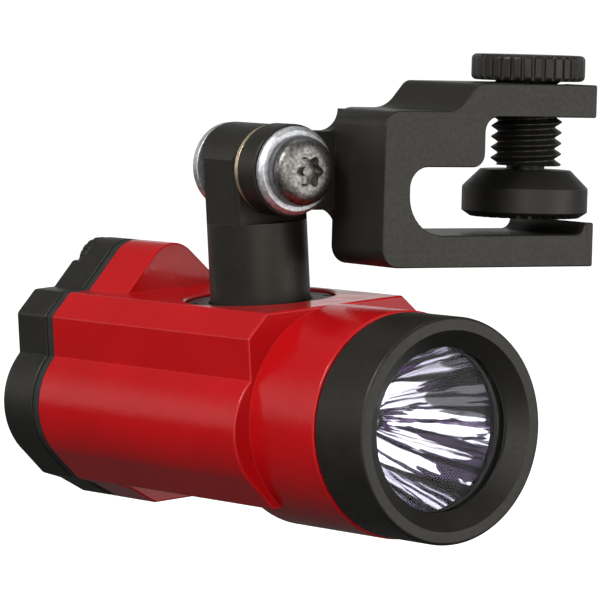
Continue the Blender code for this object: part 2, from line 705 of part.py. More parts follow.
# --- tail -----------------------------------------------------------------------------------
def tail_parts():
    x, y, _ = CELL
    over = CAP_REAR - 0.002
    gasket = plate("tail_gasket", RUBBER, BEAM, tail_section(), *GASKET)
    low, high = GASKET[0] - 0.001, GASKET[1] + 0.001
    cut(gasket, *cell_bores("gasket_hole", CHAMBER_R, low, high),
        drum("gasket_latch_hole", None, BEAM, 0.0020, low, high, (0, TAIL_SCREW_Y), SMALL))

    cap = plate("tail_cap", BLACK, BEAM, tail_section(), CAP_STEP[0], CAP_FRONT)
    join(cap, plate("cap_back", None, BEAM, tail_section(CAP_STEP[1]), CAP_REAR, CAP_STEP[0] + 0.001))
    recess = -0.0359
    cut(
        cap,
        *cell_bores("spring_pocket", 0.0076, recess, CAP_FRONT + 0.001),
        box("pocket_middle", None, BEAM, (-x, y - 0.0076, recess), (x, y + 0.0076, CAP_FRONT + 0.001)),
        drum("switch_bore", None, BEAM, 0.0036, over, CAP_FRONT, (0, BUTTON_Y), SMALL),
        drum("button_bore", None, BEAM, 0.0067, over, -0.0373, (0, BUTTON_Y)),
        drum("latch_shank_bore", None, BEAM, 0.0019, over, CAP_FRONT + 0.001, (0, TAIL_SCREW_Y), SMALL),
        drum("latch_head_bore", None, BEAM, 0.0041, over, CAP_STEP[0] - 0.0001, (0, TAIL_SCREW_Y), 32),
    )

    grip = toothed(0.0038, 20, 0.0002)
    head = lofted("latch_screw", STEEL, BEAM, [
        level(grip, CAP_REAR - 0.0001, 0.0004), level(grip, CAP_REAR + 0.0003),
        level(grip, CAP_STEP[0] - 0.0004),
    ])
    head.location = (0, TAIL_SCREW_Y, 0)
    shank = drum("latch_shank", None, BEAM, 0.0015, CAP_STEP[0] - 0.001, -0.0235, (0, TAIL_SCREW_Y),
                 SMALL, 0.0003)
    join(head, shank)
    cut(head, box("latch_slot", None, BEAM, (-0.006, TAIL_SCREW_Y - 0.0005, CAP_REAR - 0.002),
                  (0.006, TAIL_SCREW_Y + 0.0005, CAP_REAR + 0.0007)))
    ring("latch_insert", BRASS, BEAM, 0.0018, 0.0029, -0.0299, -0.0224, (0, TAIL_SCREW_Y), SMALL)

    capsule = arc_points((x, y), 0.0072, -90, 90, 10) + arc_points((-x, y), 0.0072, 90, 270, 10)
    plate("contact_board", BOARD, BEAM, capsule, -0.0347, -0.0339)
    for side, sign in (("right", 1), ("left", -1)):
        coil(f"contact_spring_{side}", STEEL, BEAM, (sign * x, y), (0.0045, 0.0025),
             -0.0333, -0.0292, 0.0003, 4)
    box("tactile_switch", PLASTIC, BEAM, (-0.0022, BUTTON_Y - 0.0022, -0.0370),
        (0.0022, BUTTON_Y + 0.0022, -0.0350))
    dome = [(0.0044 * cos(a), -0.0398 - 0.0014 * sin(a)) for a in (pi / 8 * i for i in range(5))]
    turned("power_button", RUBBER, BEAM, [
        (0, -0.0382), (0.0063, -0.0382), (0.0063, -0.0389), (0.0044, -0.0389), *dome[:-1],
        (0, -0.0412),
    ], (0, BUTTON_Y), on_axis=True)
    ring("button_ring", ALUMINIUM, BEAM, 0.0047, 0.0064, -0.0396, -0.0391, (0, BUTTON_Y))


clamp_bracket()
thumb_screw()
clamp_pad()
pad_clip()
pivot_parts()
post()
socket_parts()
light_housing()
front_parts()
cells()
tail_parts()
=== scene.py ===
"""Looks of the helmet light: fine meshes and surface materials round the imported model."""
import json
from math import asin, atan2, cos, degrees, floor, hypot, pi, radians, sin, sqrt, tan

import bmesh
import bpy
from mathutils import Matrix, Vector


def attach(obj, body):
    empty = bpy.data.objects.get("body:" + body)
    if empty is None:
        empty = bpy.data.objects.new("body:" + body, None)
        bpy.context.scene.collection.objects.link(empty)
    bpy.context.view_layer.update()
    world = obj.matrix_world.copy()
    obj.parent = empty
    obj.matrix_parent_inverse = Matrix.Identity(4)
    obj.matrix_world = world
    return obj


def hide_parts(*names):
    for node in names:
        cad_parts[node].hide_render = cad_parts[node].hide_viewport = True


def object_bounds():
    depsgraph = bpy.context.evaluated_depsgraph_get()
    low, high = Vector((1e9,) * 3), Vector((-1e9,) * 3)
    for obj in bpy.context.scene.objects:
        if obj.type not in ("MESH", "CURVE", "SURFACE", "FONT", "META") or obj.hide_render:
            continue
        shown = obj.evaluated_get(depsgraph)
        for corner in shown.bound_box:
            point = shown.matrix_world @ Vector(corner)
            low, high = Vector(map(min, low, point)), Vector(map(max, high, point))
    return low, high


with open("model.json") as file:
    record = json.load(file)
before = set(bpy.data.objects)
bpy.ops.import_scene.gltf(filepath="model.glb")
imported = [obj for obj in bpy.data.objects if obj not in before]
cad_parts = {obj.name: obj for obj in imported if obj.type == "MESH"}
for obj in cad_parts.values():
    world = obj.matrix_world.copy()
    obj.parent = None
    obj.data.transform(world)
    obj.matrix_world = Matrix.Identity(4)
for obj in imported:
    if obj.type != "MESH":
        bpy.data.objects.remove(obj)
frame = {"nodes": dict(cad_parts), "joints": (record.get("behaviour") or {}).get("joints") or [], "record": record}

CAD_BOX = [list(corner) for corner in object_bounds()]
RECORD = frame["record"]
JOINTS = {joint["name"]: joint for joint in frame["joints"]}
GAP = 0.0003

# --- frames: the world is the clamp's, the light hangs under the pivot --------------------------
HINGE = Vector(JOINTS["light_tilt"]["pos_m"])
UP = Vector(JOINTS["light_pan"]["axis"]).normalized()
REAR = Vector(JOINTS["tail_slide"]["axis"]).normalized()
HINGE_HEIGHT = 0.03365


def basis(x, y, z, origin):
    """A frame from its three axes and its origin."""
    made = Matrix((x, y, z)).transposed().to_4x4()
    made.translation = origin
    return made


LIGHT = basis(REAR.cross(UP), REAR, UP, HINGE - UP * HINGE_HEIGHT)
BEAM = LIGHT @ Matrix.Rotation(pi / 2, 4, "X")
POST = basis(Vector((0, 1, 0)).cross(UP), Vector((0, 1, 0)), UP, LIGHT.translation)
PIVOT = Matrix.Translation(HINGE) @ Matrix.Rotation(pi / 2, 4, "X")
CLAMP = Matrix.Rotation(pi / 2, 4, "X")
WORLD = Matrix.Identity(4)
PAN_IN_BEAM = BEAM.inverted() @ LIGHT
PIVOT_IN_CLAMP = CLAMP.inverted() @ PIVOT
EAR_IN_POST = Matrix.Translation((0, 0, HINGE_HEIGHT)) @ Matrix.Rotation(pi / 2, 4, "X")

# --- brim clamp, seen along the beam ------------------------------------------------------------
JAW_DEPTH = 0.018
CLAMP_RIGHT = 0.0056
CLAMP_LEFT = -0.0302
CLAMP_TOP = 0.0210
CLAMP_BASE = -0.00445
BLOCK_TOP = 0.0171
ARM_BASE = 0.0164
SLOT_TOP = 0.0094
SLOT_LEFT = -0.0258
LIP_TOP = 0.0017
LIP_INNER = 0.0041
RISER_X = -0.0134
RELIEF_X, RELIEF_Y = 0.0040, 0.0054
SCREW_BORE_R = 0.00525
THREAD_R = 0.0050
THREAD_DEPTH = 0.00092
THREAD_PITCH = 0.0015
THREAD_END = 0.0094
KNOB_R = 0.00803
KNOB_BASE = 0.02135
KNOB_TOP = 0.0250
KNOB_TEETH = 33
PAD_R = 0.0089
PAD_TOP_R = 0.0064
PAD_BASE = 0.0021
PAD_SHOULDER = 0.0063
PAD_TOP = 0.0088
PAD_BORE_R = 0.0030
CLIP_Z = 0.0063
TIP_Z = 0.0044

# --- pivot stack, distances forward of the post axis --------------------------------------------
TONGUE = (0.0055, 0.0098)
TONGUE_R = 0.0064
NECK_HALF = 0.00545
FLARE_END = 0.0100
FLARE_BASE = 0.0086
EAR = (-0.0051, 0.0044)
THRUST_WASHER = (0.00455, 0.00535)
THRUST_R = 0.0062
FRONT_WASHER = (0.00995, 0.01115)
LOCK_WASHER = (0.0113, 0.01205)
HEAD_SEAT = 0.0122
HEAD_RIM = 0.0127
HEAD_TOP = 0.0141
RECESS_R = 0.0023
RECESS_DEPTH = 0.0016
REAR_WASHER = (-0.0071, -0.0053)
NUT = (-0.0093, -0.0073)
NUT_R = 0.0043
SCREW_TIP = -0.0097
PIVOT_R = 0.0025
PIN_R = 0.00062
LOCK_WASHER_R = 0.0049
WASHER_FACE_R = 0.0056
PIVOT_BORE_R = 0.00275
WASHER_R = 0.0061
HEAD_R = 0.0047

# --- post, heights above the beam axis ----------------------------------------------------------
POST_R = 0.0070
EAR_HALF = 0.0060
EAR_ROUND_R = 0.0062
LEDGE = HINGE_HEIGHT - 0.0074
SOCKET_R = 0.0106
SOCKET_FLOOR = 0.0099
FLANGE = (0.0110, 0.0124)
FLANGE_R = 0.0096
FLANGE_GROOVE_R = 0.0085
EAR_STRAIGHT = 0.0014                # how far above the pivot the ear's sides stay flat
SPANNER_SLOTS = (151, 331)           # degrees round the deck ring
RING = (0.0127, 0.0151)
RING_R = 0.0103

# --- light body, in the beam frame --------------------------------------------------------------
DECK = 0.0155
DECK_HALF = 0.01175
SIDE = 0.0150
SIDE_TOP = 0.01235
LOBE = (0.0082, -0.0008, 0.0100)
LOBE_TOP_Y = 0.0066
UNDER_CORNER_X = 0.0121
UNDERSIDE = -0.0114
BODY_REAR = -0.03015
BODY_FRONT = 0.0172
NOSE_START = 0.0115
HUMP_FRONT = -0.0207
HUMP = (0.0175, 0.0045)
KEEL = (0.0052, -0.0150, 0.0092, -0.0125)
NOSE_R = 0.0155
NOSE_END = 0.0313
BEZEL_R = 0.0153
BEZEL_END = 0.04145
BEZEL_FACE_R = 0.0135
OPENING_R = 0.0111
CELL = (0.00855, -0.0008)
CHAMBER_R = 0.00875
CHAMBER_END = 0.0056
NOSE_BORE_R = 0.0131
BEZEL_BORE_R = 0.0142
LENS = (0.0369, 0.0387, 0.0130)
MOUTH_R = 0.0114
MIRROR_FLANGE_R = 0.0124
MIRROR_WALL = 0.0007
THROAT_R = 0.0026
MIRROR = (0.0205, 0.0353)
LATCH_Y = 0.0181
GASKET = (-0.03165, -0.03035)
CAP_FRONT = -0.03195
CAP_REAR = -0.0395
CAP_STEP = (-0.0374, 0.0190)
BUTTON_Y = -0.0008
BUTTON_BORE_R = 0.0067
BUTTON_FLANGE_R = 0.0063
BUTTON_DOME_R = 0.0044
BUTTON_LEVELS = (-0.0382, -0.0389, -0.0398, -0.0412)    # base, flange, foot and top of the dome
LATCH_HEAD_R = 0.0038
LATCH_SHANK_R = 0.0015
LATCH_TIP = -0.0235


# --- outlines -----------------------------------------------------------------------------------
def fillet(corners, arc=6):
    """Outline through (x, y, radius) corners, each turned into an arc of its radius."""
    outline = []
    for index, (x, y, radius) in enumerate(corners):
        if radius <= 0:
            outline.append((x, y))
            continue
        here = Vector((x, y))
        before = (Vector(corners[index - 1][:2]) - here).normalized()
        after = (Vector(corners[(index + 1) % len(corners)][:2]) - here).normalized()
        half = before.angle(after) / 2
        middle = here + (before + after).normalized() * (radius / sin(half))
        start = here + before * (radius / tan(half)) - middle
        end = here + after * (radius / tan(half)) - middle
        swing = atan2(start.x * end.y - start.y * end.x, start.dot(end))
        for step in range(arc + 1):
            outline.append(tuple(middle + Matrix.Rotation(swing * step / arc, 2) @ start))
    return outline


def arc_points(centre, radius, start, end, count):
    """Points on an arc, angles in degrees."""
    angles = [radians(start + (end - start) * i / count) for i in range(count + 1)]
    return [(centre[0] + radius * cos(a), centre[1] + radius * sin(a)) for a in angles]


def area(outline):
    pairs = zip(outline, outline[1:] + outline[:1])
    return sum(a[0] * b[1] - b[0] * a[1] for a, b in pairs) / 2


def inset(outline, amount):
    """The outline moved inwards by the same amount everywhere."""
    turn = 1 if area(outline) > 0 else -1
    moved = []
    for index, (x, y) in enumerate(outline):
        here = Vector((x, y))
        before = (here - Vector(outline[index - 1])).normalized()
        after = (Vector(outline[(index + 1) % len(outline)]) - here).normalized()
        inward = Vector((-before.y - after.y, before.x + after.x)) * turn
        share = inward.length_squared / 2
        moved.append(tuple(here + inward * (amount / max(share, 0.3))))
    return moved


def toothed(radius, teeth, depth, lead=0.10, top=0.72):
    """Outline of a grip rim: flat-topped teeth between narrow grooves."""
    outline = []
    pitch = 2 * pi / teeth
    stops = ((0.0, depth), (lead, depth * 0.15), (lead + 0.04, 0.0), (0.4, 0.0), (top - 0.04, 0.0),
             (top, depth * 0.15), (top + lead, depth), (0.92, depth))
    for tooth in range(teeth):
        for share, drop in stops:
            angle = pitch * (tooth + share)
            outline.append(((radius - drop) * cos(angle), (radius - drop) * sin(angle)))
    return outline


def level(outline, height, limit=1.0):
    """A section of a loft at a height, with the outline cut back to a limiting radius."""
    section = []
    for x, y in outline:
        scale = min(1.0, limit / hypot(x, y))
        section.append((x * scale, y * scale, height))
    return section


# --- meshes -------------------------------------------------------------------------------------
def finished(work, name):
    bmesh.ops.recalc_face_normals(work, faces=work.faces)
    mesh = bpy.data.meshes.new(name)
    work.to_mesh(mesh)
    work.free()
    return mesh


def loft(sections, name="loft"):
    """A closed loft through sections with equal point counts, capped at both ends."""
    work = bmesh.new()
    loops = [[work.verts.new(point) for point in section] for section in sections]
    count = len(loops[0])
    for low, high in zip(loops, loops[1:]):
        for i in range(count):
            j = (i + 1) % count
            work.faces.new((low[i], low[j], high[j], high[i]))
    work.faces.new(list(reversed(loops[0])))
    work.faces.new(loops[-1])
    return finished(work, name)


def prism(outline, low, high, low_edge=0.0, high_edge=0.0, steps=4):
    """A flat outline extruded along z, with rounded edges of the given radii at its ends."""
    sections = []
    for height, edge, way in ((low, low_edge, 1), (high, high_edge, -1)):
        ring = []
        for step in range(steps + 1 if edge else 1):
            angle = pi / 2 * step / steps
            pulled = inset(outline, edge * (1 - sin(angle))) if edge else outline
            rise = height + way * edge * (1 - cos(angle)) if edge else height
            ring.append([(x, y, rise) for x, y in pulled])
        sections += ring if way > 0 else list(reversed(ring))
    return loft(sections)


def knurled(outline, low, high, edge, steps=5):
    """A toothed outline extruded along z, with rims rounded by cutting the teeth back to a circle."""
    outer = max(hypot(x, y) for x, y in outline)
    turns = [pi / 2 * step / steps for step in range(steps + 1)]
    start = [level(outline, low + edge * (1 - cos(a)), outer - edge * (1 - sin(a))) for a in turns]
    end = [level(outline, high - edge * (1 - cos(a)), outer - edge * (1 - sin(a))) for a in turns]
    return loft(start + list(reversed(end)))


def lathe(profile, steps=96, at=(0, 0)):
    """A turned solid from a closed profile of (radius, height) points."""
    work = bmesh.new()
    rings = []
    for radius, height in profile:
        if radius < 1e-7:
            rings.append([work.verts.new((at[0], at[1], height))])
            continue
        turns = [2 * pi * step / steps for step in range(steps)]
        rings.append([
            work.verts.new((at[0] + radius * cos(a), at[1] + radius * sin(a), height)) for a in turns
        ])
    for index, one in enumerate(rings):
        two = rings[(index + 1) % len(rings)]
        if len(one) == 1 and len(two) == 1:
            continue
        for i in range(steps):
            j = (i + 1) % steps
            corners = [one[0], two[j], two[i]] if len(one) == 1 else (
                [one[i], one[j], two[0]] if len(two) == 1 else [one[i], one[j], two[j], two[i]])
            work.faces.new(corners)
    return finished(work, "turned")


def drum(radius, low, high, at=(0, 0), steps=96, edge=0.0):
    corners = [(0, low, 0), (radius, low, edge), (radius, high, edge), (0, high, 0)]
    return lathe(fillet(corners, 3), steps, at)


def ring(inner, outer, low, high, at=(0, 0), steps=96, edge=0.0):
    corners = [(inner, low, edge), (outer, low, edge), (outer, high, edge), (inner, high, edge)]
    return lathe(fillet(corners, 3), steps, at)


def countersunk(radius, low, face, over, edge, at=(0, 0), steps=96):
    """Cutter for a bore that breaks its upper edge with a chamfer at the face."""
    return lathe([
        (0, low), (radius, low), (radius, face - edge), (radius + edge, face),
        (radius + edge + (over - face), over), (0, over),
    ], steps, at)


def block(low, high):
    work = bmesh.new()
    bmesh.ops.create_cube(work, size=1)
    bmesh.ops.scale(work, verts=work.verts, vec=[b - a for a, b in zip(low, high)])
    bmesh.ops.translate(work, verts=work.verts, vec=[(a + b) / 2 for a, b in zip(low, high)])
    return finished(work, "block")


def moved(mesh, matrix):
    mesh.transform(matrix)
    return mesh


def carve(base, joins=(), cuts=()):
    """The base with other solids joined to it and then cut from it."""
    target = bpy.data.objects.new("work", base)
    helpers = []
    bpy.context.scene.collection.objects.link(target)
    for operation, solids in (("UNION", joins), ("DIFFERENCE", cuts)):
        for solid in solids:
            helper = bpy.data.objects.new("helper", solid)
            bpy.context.scene.collection.objects.link(helper)
            helpers.append(helper)
            change = target.modifiers.new("carve", "BOOLEAN")
            change.operation = operation
            change.solver = "EXACT"
            change.object = helper
    shape = target.evaluated_get(bpy.context.evaluated_depsgraph_get())
    mesh = bpy.data.meshes.new_from_object(shape)
    for old in helpers + [target]:
        bpy.data.objects.remove(old, do_unlink=True)
    work = bmesh.new()
    work.from_mesh(mesh)
    bmesh.ops.remove_doubles(work, verts=work.verts, dist=0.000002)
    bmesh.ops.dissolve_degenerate(work, edges=work.edges, dist=0.000001)
    bmesh.ops.holes_fill(work, edges=[edge for edge in work.edges if edge.is_boundary])
    work.to_mesh(mesh)
    work.free()
    return mesh


def piece(name, mesh, place, body, look, node, sharp=32, bevel=0.0):
    """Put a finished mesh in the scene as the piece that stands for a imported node."""
    mesh.name = name
    mesh.materials.clear()
    mesh.materials.append(LOOKS[look])
    made = bpy.data.objects.new(name, mesh)
    bpy.context.scene.collection.objects.link(made)
    made.matrix_world = place
    mesh.shade_smooth()
    mesh.set_sharp_from_angle(angle=radians(sharp))
    if bevel:
        edges = made.modifiers.new("edges", "BEVEL")
        edges.width = bevel
        edges.segments = 2
        edges.limit_method = "ANGLE"
        edges.angle_limit = radians(50)
        edges.use_clamp_overlap = True
    normals = made.modifiers.new("normals", "WEIGHTED_NORMAL")
    normals.keep_sharp = True
    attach(made, body)
    if node:
        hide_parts(node)
    return made


# --- materials ----------------------------------------------------------------------------------
class Surface:
    """A Principled material whose colour, roughness and bump are driven by small-scale noise."""

    def __init__(self, name, metallic=0.0, specular=0.5, coat=0.0, coat_roughness=0.05):
        self.material = bpy.data.materials.new(name)
        self.material.use_nodes = True
        self.nodes = self.material.node_tree.nodes
        self.links = self.material.node_tree.links
        self.shader = self.nodes["Principled BSDF"]
        self.shader.inputs["Metallic"].default_value = metallic
        self.shader.inputs["Specular IOR Level"].default_value = specular
        self.shader.inputs["Coat Weight"].default_value = coat
        self.shader.inputs["Coat Roughness"].default_value = coat_roughness
        self.place = self.nodes.new("ShaderNodeTexCoord").outputs["Object"]
        self.bump = None

    def add(self, kind, **settings):
        node = self.nodes.new(kind)
        for key, value in settings.items():
            setattr(node, key, value)
        return node

    def noise(self, size, detail=3.0, stretch=(1, 1, 1)):
        """Noise between 0 and 1 whose features are about `size` metres across."""
        mapping = self.add("ShaderNodeMapping")
        mapping.inputs["Scale"].default_value = stretch
        self.links.new(self.place, mapping.inputs["Vector"])
        texture = self.add("ShaderNodeTexNoise")
        texture.inputs["Scale"].default_value = 1 / size
        texture.inputs["Detail"].default_value = detail
        self.links.new(mapping.outputs["Vector"], texture.inputs["Vector"])
        return texture.outputs["Fac"]

    def streaks(self, count, detail):
        """Noise that runs along the meridians about the z axis, `count` features to a radian."""
        flat = self.add("ShaderNodeVectorMath", operation="MULTIPLY")
        flat.inputs[1].default_value = (1, 1, 0)
        self.links.new(self.place, flat.inputs[0])
        unit = self.add("ShaderNodeVectorMath", operation="NORMALIZE")
        self.links.new(flat.outputs["Vector"], unit.inputs[0])
        bent = self.add("ShaderNodeVectorMath", operation="MULTIPLY_ADD")
        bent.inputs[1].default_value = (22, 22, 22)
        self.links.new(self.place, bent.inputs[0])
        self.links.new(unit.outputs["Vector"], bent.inputs[2])
        texture = self.add("ShaderNodeTexNoise")
        texture.inputs["Scale"].default_value = count
        texture.inputs["Detail"].default_value = detail
        self.links.new(bent.outputs["Vector"], texture.inputs["Vector"])
        return texture.outputs["Fac"]

    def remap(self, value, low, high, new_low=0.0, new_high=1.0):
        node = self.add("ShaderNodeMapRange")
        for name, number in (("From Min", low), ("From Max", high), ("To Min", new_low),
                             ("To Max", new_high)):
            node.inputs[name].default_value = number
        self.links.new(value, node.inputs["Value"])
        return node.outputs["Result"]

    def math(self, operation, *values):
        node = self.add("ShaderNodeMath", operation=operation)
        for socket, value in zip(node.inputs, values):
            if isinstance(value, (int, float)):
                socket.default_value = value
            else:
                self.links.new(value, socket)
        return node.outputs[0]

    def mix(self, share, one, two):
        node = self.add("ShaderNodeMix", data_type="RGBA")
        self.links.new(share, node.inputs["Factor"])
        for socket, value in ((node.inputs[6], one), (node.inputs[7], two)):
            if isinstance(value, tuple):
                socket.default_value = (*value, 1.0)
            else:
                self.links.new(value, socket)
        return node.outputs[2]

    def edges(self, radius, start=0.995, end=0.93):
        """1 on convex edges and 0 on open faces: rubbed wear on the metals and the anodise, a painted highlight on
        the red enamel.
        """
        rounded = self.add("ShaderNodeBevel", samples=4)
        rounded.inputs["Radius"].default_value = radius
        geometry = self.add("ShaderNodeNewGeometry")
        compare = self.add("ShaderNodeVectorMath", operation="DOT_PRODUCT")
        self.links.new(rounded.outputs["Normal"], compare.inputs[0])
        self.links.new(geometry.outputs["Normal"], compare.inputs[1])
        return self.remap(compare.outputs["Value"], start, end)

    def raise_by(self, height, depth):
        """Bump of a real depth in metres; each call lies on the one before."""
        node = self.add("ShaderNodeBump")
        node.inputs["Distance"].default_value = depth
        self.links.new(height, node.inputs["Height"])
        if self.bump:
            self.links.new(self.bump, node.inputs["Normal"])
        self.bump = node.outputs["Normal"]

    def finish(self, colour, roughness):
        self.links.new(colour, self.shader.inputs["Base Color"])
        self.links.new(roughness, self.shader.inputs["Roughness"])
        if self.bump:
            self.links.new(self.bump, self.shader.inputs["Normal"])
        return self.material


def red_enamel():
    made = Surface("red_enamel", specular=0.22, coat=0.12, coat_roughness=0.06)
    patches = made.noise(0.012)
    colour = made.mix(made.remap(patches, 0.35, 0.65), (0.46, 0.0040, 0.0060), (0.41, 0.0032, 0.0050))
    # painted highlight: the convex edges are lightened towards a bright red
    colour = made.mix(made.math("MULTIPLY", made.edges(0.0003), 0.35), colour, (0.75, 0.05, 0.05))
    roughness = made.remap(made.noise(0.0030), 0.3, 0.7, 0.16, 0.26)
    made.raise_by(made.noise(0.0011, 1.0), 0.000034)
    made.raise_by(made.noise(0.0045, 1.0), 0.000030)
    return made.finish(colour, roughness)


def black_anodise():
    made = Surface("black_anodise", specular=0.32)
    made.shader.inputs["Specular Tint"].default_value = (1.0, 0.96, 0.86, 1.0)
    tone = made.remap(made.noise(0.004), 0.3, 0.7)
    colour = made.mix(tone, (0.0100, 0.0094, 0.0076), (0.0150, 0.0142, 0.0115))
    scuffs = made.math("MULTIPLY", made.edges(0.00015), made.remap(made.noise(0.0015), 0.35, 0.7))
    colour = made.mix(made.math("MULTIPLY", scuffs, 0.5), colour, (0.10, 0.10, 0.095))
    roughness = made.remap(made.noise(0.0006), 0.3, 0.7, 0.36, 0.48)
    made.raise_by(made.noise(0.00028, 2.0), 0.000004)
    return made.finish(colour, roughness)


def metal(name, dark, light, rough_low, rough_high, spot=0.0006, grain=0.00025, depth=0.000006,
          stretch=(1, 1, 1)):
    """A bare or plated metal, mottled at one scale and grained at a finer one."""
    made = Surface(name, metallic=1.0)
    mottle = made.remap(made.noise(spot, 4.0, stretch), 0.32, 0.68)
    colour = made.mix(mottle, dark, light)
    colour = made.mix(made.math("MULTIPLY", made.edges(0.0001), 0.4), colour, light)
    roughness = made.remap(made.noise(spot * 0.7, 3.0, stretch), 0.3, 0.7, rough_low, rough_high)
    made.raise_by(made.noise(grain, 2.0, stretch), depth)
    return made.finish(colour, roughness)


def soft(name, dark, light, rough_low, rough_high, spot=0.0012, grain=0.00030, depth=0.000010,
         specular=0.4):
    """A moulded rubber or plastic with a fine even texture."""
    made = Surface(name, specular=specular)
    colour = made.mix(made.remap(made.noise(spot), 0.3, 0.7), dark, light)
    roughness = made.remap(made.noise(spot * 0.5), 0.3, 0.7, rough_low, rough_high)
    made.raise_by(made.noise(grain, 2.0), depth)
    return made.finish(colour, roughness)


def mirror_coat():
    """Vacuum-plated bowl with painted reflections: dark violet streaks, running from the throat to the mouth, are
    painted into its colour.
    """
    made = Surface("mirror_coat", metallic=1.0)
    made.shader.inputs["Specular Tint"].default_value = (0.25, 0.20, 0.30, 1.0)
    colour = made.mix(made.remap(made.noise(0.005), 0.3, 0.7), (0.88, 0.87, 0.93), (0.94, 0.93, 0.97))
    # painted reflection: two layers of meridian streaks mask dark violet reflections painted into the mirror's
    # colour
    broad, fine = made.streaks(3.2, 1.0), made.streaks(11.0, 2.0)
    painted_reflection_streaks = made.math("MULTIPLY_ADD", fine, 0.45, broad)
    colour = made.mix(made.remap(painted_reflection_streaks, 0.762, 0.780, 0.0, 0.98), colour, (0.030, 0.016, 0.045))
    roughness = made.remap(made.noise(0.002), 0.3, 0.7, 0.03, 0.08)
    made.raise_by(made.noise(0.0040, 1.0), 0.000035)
    return made.finish(colour, roughness)


def glass():
    """Coated glass: a low index stands in for the coating, which reflects far less than bare glass."""
    made = Surface("glass", specular=0.5)
    made.shader.inputs["Transmission Weight"].default_value = 1.0
    made.shader.inputs["IOR"].default_value = 1.2
    colour = made.mix(made.remap(made.noise(0.006), 0.3, 0.7), (0.97, 0.98, 0.99), (0.99, 1.0, 1.0))
    roughness = made.remap(made.noise(0.003), 0.3, 0.7, 0.0, 0.012)
    return made.finish(colour, roughness)


LOOKS = {
    "red_enamel": red_enamel(),
    "black_anodise": black_anodise(),
    "zinc_plate": metal("zinc_plate", (0.52, 0.53, 0.55), (0.82, 0.82, 0.83), 0.42, 0.60),
    "brass": metal("brass", (0.66, 0.50, 0.31), (0.90, 0.76, 0.54), 0.36, 0.52),
    "stainless": metal("stainless", (0.10, 0.097, 0.087), (0.31, 0.30, 0.28), 0.32, 0.48, spot=0.0005,
                       depth=0.00001),
    "rubber": soft("rubber", (0.010, 0.010, 0.010), (0.020, 0.020, 0.019), 0.6, 0.8),
    "circuit_board": soft("circuit_board", (0.008, 0.07, 0.03), (0.02, 0.11, 0.05), 0.3, 0.45),
    "aluminium": metal("aluminium", (0.42, 0.43, 0.45), (0.62, 0.63, 0.65), 0.25, 0.42),
    "cell_wrap": soft("cell_wrap", (0.02, 0.02, 0.03), (0.05, 0.05, 0.06), 0.25, 0.4, depth=0.000004),
    "mirror_coat": mirror_coat(),
    "glass": glass(),
    "emitter": soft("emitter", (0.85, 0.62, 0.10), (0.95, 0.78, 0.25), 0.2, 0.35, depth=0.000003),
    "black_plastic": soft("black_plastic", (0.07, 0.075, 0.08), (0.11, 0.117, 0.125), 0.3, 0.45),
}


# --- brim clamp ---------------------------------------------------------------------------------
def bracket_outline(left):
    """The bracket seen along the beam, with its block starting at the given left side."""
    sharp = 0.0003
    return fillet([
        (RISER_X - 0.0014, CLAMP_TOP, 0.0019), (CLAMP_RIGHT, CLAMP_TOP, sharp),
        (CLAMP_RIGHT, ARM_BASE, sharp), (RISER_X, ARM_BASE, 0.0021),
        (RISER_X, SLOT_TOP, 0.0019), (SLOT_LEFT, SLOT_TOP, 0.0029),
        (SLOT_LEFT, 0, 0.0055), (LIP_INNER, 0, 0.0016), (LIP_INNER, LIP_TOP, 0.0001),
        (CLAMP_RIGHT, LIP_TOP, sharp), (CLAMP_RIGHT, CLAMP_BASE, sharp),
        (left, CLAMP_BASE, 0.0026), (left, BLOCK_TOP, 0.0023), (RISER_X - 0.0048, BLOCK_TOP, 0.0043),
    ], 10)


def clamp_bracket():
    """The jaw's rear left corner is swept away to clear the post, and keeps its rounded outline."""
    steps = 4
    half = JAW_DEPTH / 2
    sections = []
    for end, left, edge, way in ((-half, CLAMP_LEFT + RELIEF_X, 0.0001, 1), (half, CLAMP_LEFT, 0.00022, -1)):
        rim = []
        for step in range(steps + 1):
            angle = pi / 2 * step / steps
            pulled = inset(bracket_outline(left), edge * (1 - sin(angle)))
            rim.append([(x, y, end + way * edge * (1 - cos(angle))) for x, y in pulled])
        sections += rim if way > 0 else list(reversed(rim))
    sweep_end = [(x, y, RELIEF_Y - half) for x, y in bracket_outline(CLAMP_LEFT)]
    body = loft(sections[:steps + 1] + [sweep_end] + sections[steps + 1:])
    bar = [(0, -NECK_HALF), (0.0100, -NECK_HALF), (0.0100, NECK_HALF), (0, NECK_HALF)]
    root, top = 0.0127, BLOCK_TOP - HINGE.z - 0.0002
    upper, lower = top - NECK_HALF, FLARE_BASE - NECK_HALF
    flare = [
        (0.0060, -NECK_HALF), *arc_points((FLARE_END - lower, -FLARE_BASE), lower, 90, 0, 16),
        (root, -FLARE_BASE), (root, top),
        *arc_points((FLARE_END - upper, top), upper, 0, -90, 16), (0.0060, NECK_HALF),
    ]
    low, high = TONGUE
    joins = [
        drum(TONGUE_R, low, high, edge=0.00025),
        prism(bar, low + 0.00001, high - 0.00001),
        prism(flare, low + 0.00002, low + 0.0022),
    ]
    joins = [moved(mesh, PIVOT_IN_CLAMP) for mesh in joins]
    clamp_bore = lathe([
        (0, ARM_BASE - 0.002), (SCREW_BORE_R + 0.0024, ARM_BASE - 0.002), (SCREW_BORE_R + 0.0004, ARM_BASE),
        (SCREW_BORE_R, ARM_BASE + 0.0004), (SCREW_BORE_R, CLAMP_TOP - 0.0004),
        (SCREW_BORE_R + 0.0004, CLAMP_TOP), (SCREW_BORE_R + 0.0024, CLAMP_TOP + 0.002),
        (0, CLAMP_TOP + 0.002),
    ])
    cuts = [
        moved(drum(PIVOT_BORE_R, low - 0.001, high + 0.001, steps=48), PIVOT_IN_CLAMP),
        moved(clamp_bore, CLAMP.inverted()),
    ]
    mesh = carve(body, joins, cuts)
    piece("brim_clamp", mesh, CLAMP, "clamp", "black_anodise", "clamp_bracket")


